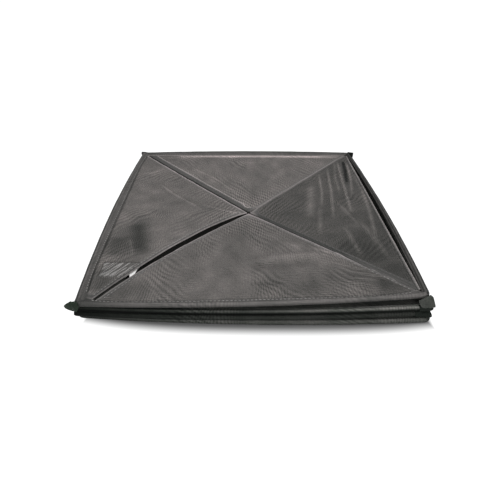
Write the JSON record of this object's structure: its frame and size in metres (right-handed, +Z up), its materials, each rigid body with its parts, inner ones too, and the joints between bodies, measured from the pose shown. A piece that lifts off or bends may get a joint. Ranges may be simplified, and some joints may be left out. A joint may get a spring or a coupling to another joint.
{
  "type": "folding crab trap",
  "caption": "Flat-folded square crab trap: stacked spring-wire hoops in taped bindings, mesh walls tucked between them, and hinged triangular mesh flaps that open the top.",
  "frame": {"origin": "on the ground under the middle of the folded stack", "axes": "+Z up through the stack, -Y towards the front edge, +X to the right"},
  "size_m": [0.6303, 0.6268, 0.0463],
  "materials": {
    "mesh": "fine woven mesh, slight sheen",
    "flap_hem": "doubled mesh hem",
    "binding_tape": "woven tape, satin",
    "patch": "smooth white woven cloth",
    "spring_wire": "drawn spring wire",
    "crimp_sleeve": "crimped tube"
  },
  "bodies": {
    "base": {"bottom_wire": "spring_wire", "bottom_ferrule": "crimp_sleeve", "bottom_front_tape": "binding_tape", "bottom_right_tape": "binding_tape", "bottom_back_tape": "binding_tape", "bottom_left_tape": "binding_tape", "floor_mesh": "mesh", "lower_wall": "mesh"},
    "lower_hoop": {"lower_wire": "spring_wire", "lower_ferrule": "crimp_sleeve", "lower_front_tape": "binding_tape", "lower_right_tape": "binding_tape", "lower_back_tape": "binding_tape", "lower_left_tape": "binding_tape", "middle_wall": "mesh"},
    "upper_hoop": {"upper_wire": "spring_wire", "upper_ferrule": "crimp_sleeve", "upper_front_tape": "binding_tape", "upper_right_tape": "binding_tape", "upper_back_tape": "binding_tape", "upper_left_tape": "binding_tape", "upper_wall": "mesh", "upper_front_right_tab": "binding_tape"},
    "top_hoop": {"top_wire": "spring_wire", "top_ferrule": "crimp_sleeve", "top_front_tape": "binding_tape", "top_right_tape": "binding_tape", "top_back_tape": "binding_tape", "top_left_tape": "binding_tape", "top_front_left_tab": "binding_tape", "top_back_right_tab": "binding_tape"},
    "front_flap": {"front_flap_mesh": "mesh", "front_flap_hem": "flap_hem"},
    "right_flap": {"right_flap_mesh": "mesh", "right_flap_hem": "flap_hem", "right_edge_hem": "flap_hem"},
    "back_flap": {"back_flap_mesh": "mesh", "back_flap_hem": "flap_hem"},
    "left_flap": {"left_flap_mesh": "mesh", "left_flap_hem": "flap_hem", "left_patch": "patch"}
  },
  "joints": [
    {"name": "raise_lower", "type": "slide", "parent": "base", "child": "lower_hoop", "axis": [0, 0, 1], "range_m": [0, 0.0805], "deforming": ["lower_wall"]},
    {"name": "raise_upper", "type": "slide", "parent": "lower_hoop", "child": "upper_hoop", "axis": [0, 0, 1], "range_m": [0, 0.0805], "deforming": ["middle_wall"]},
    {"name": "raise_top", "type": "slide", "parent": "upper_hoop", "child": "top_hoop", "axis": [0, 0, 1], "range_m": [0, 0.0805], "deforming": ["upper_wall"]},
    {"name": "open_front", "type": "hinge", "parent": "top_hoop", "child": "front_flap", "pos_m": [-0.00156, -0.27265, 0.03672], "axis": [0.9999, -0.0006, 0.0118], "range_deg": [0, 110]},
    {"name": "open_right", "type": "hinge", "parent": "top_hoop", "child": "right_flap", "pos_m": [0.28193, 0.00257, 0.03706], "axis": [-0.0001, 0.9999, -0.012], "range_deg": [0, 110]},
    {"name": "open_back", "type": "hinge", "parent": "top_hoop", "child": "back_flap", "pos_m": [-0.00394, 0.28465, 0.03338], "axis": [-0.9997, 0.0234, -0.0003], "range_deg": [0, 110]},
    {"name": "open_left", "type": "hinge", "parent": "top_hoop", "child": "left_flap", "pos_m": [-0.28021, 0.00934, 0.03338], "axis": [0.0083, -1, 0.0003], "range_deg": [0, 110]}
  ],
  "couplings": [
    {"joint": "raise_upper", "follows": "raise_lower", "ratio": 1},
    {"joint": "raise_top", "follows": "raise_lower", "ratio": 1}
  ]
}
